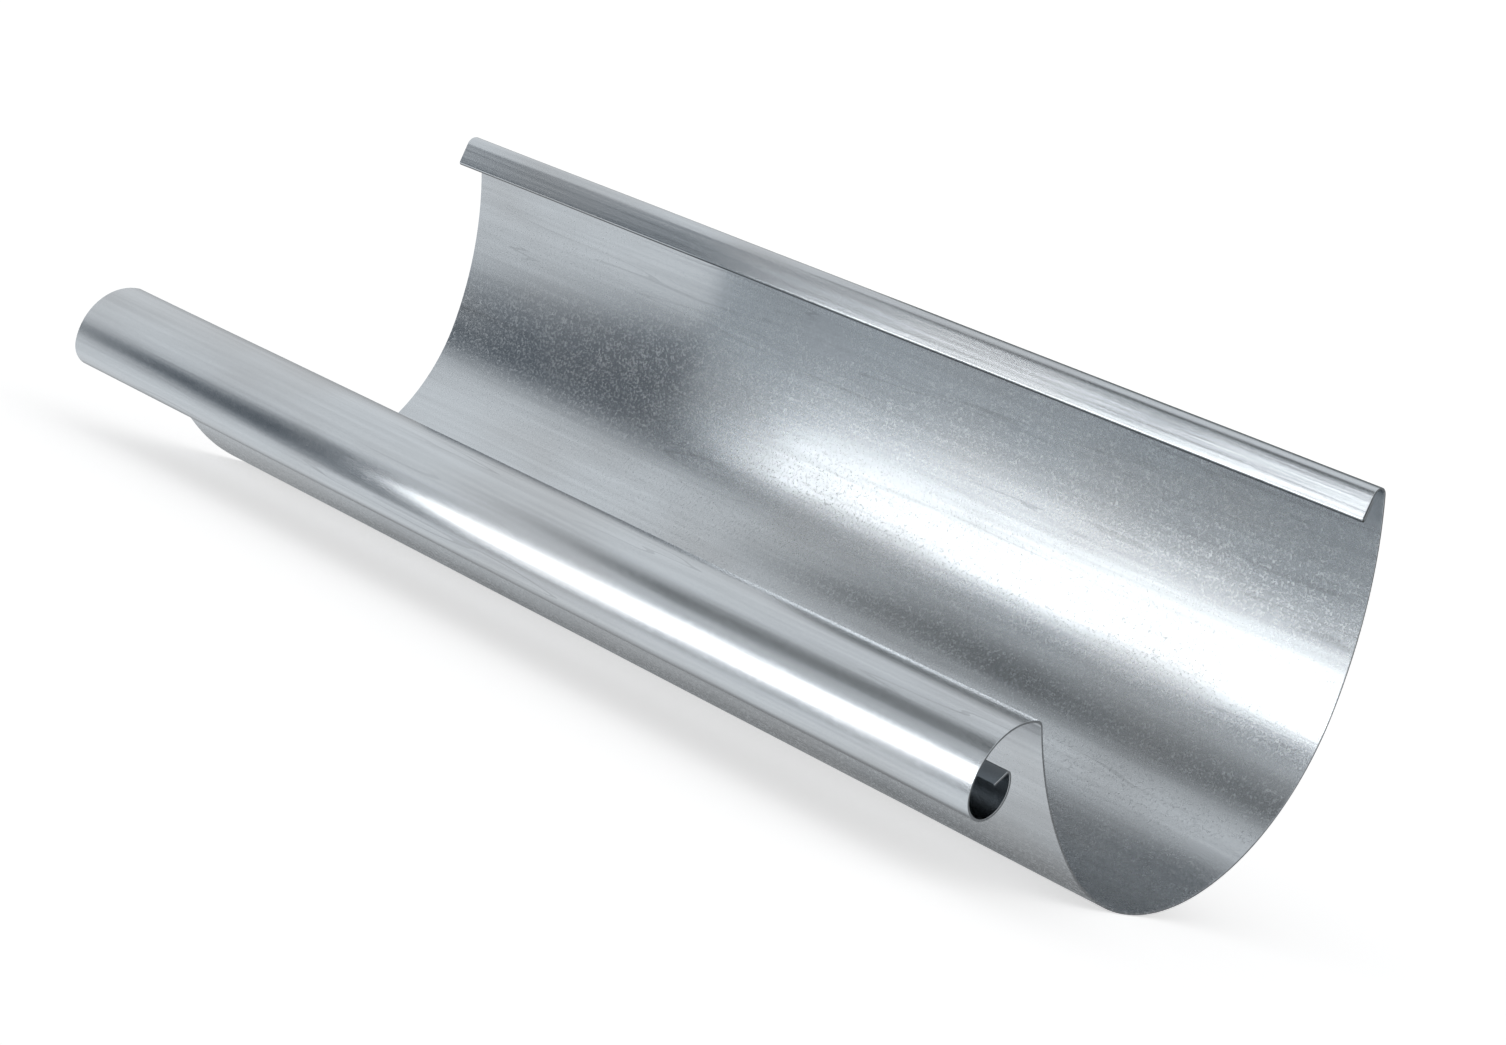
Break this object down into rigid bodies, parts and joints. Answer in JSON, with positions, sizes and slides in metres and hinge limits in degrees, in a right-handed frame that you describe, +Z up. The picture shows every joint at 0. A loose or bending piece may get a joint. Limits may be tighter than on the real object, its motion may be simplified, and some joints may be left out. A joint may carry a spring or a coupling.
{
  "type": "half-round gutter section",
  "caption": "Straight length of half-round roof gutter in galvanised sheet steel, with a rolled front bead and a hemmed back edge, both ends cut square.",
  "frame": {"origin": "centre of the footprint, on the floor line under the round bottom", "axes": "+X along the length, +Y towards the hemmed back edge, +Z up as the piece lies at rest"},
  "size_m": [0.33, 0.1361, 0.1135],
  "materials": {
    "galvanised_sheet": "hot-dip galvanised, fine spangle, half-bright"
  },
  "bodies": {
    "root": {"gutter_section": "galvanised_sheet"}
  },
  "joints": []
}
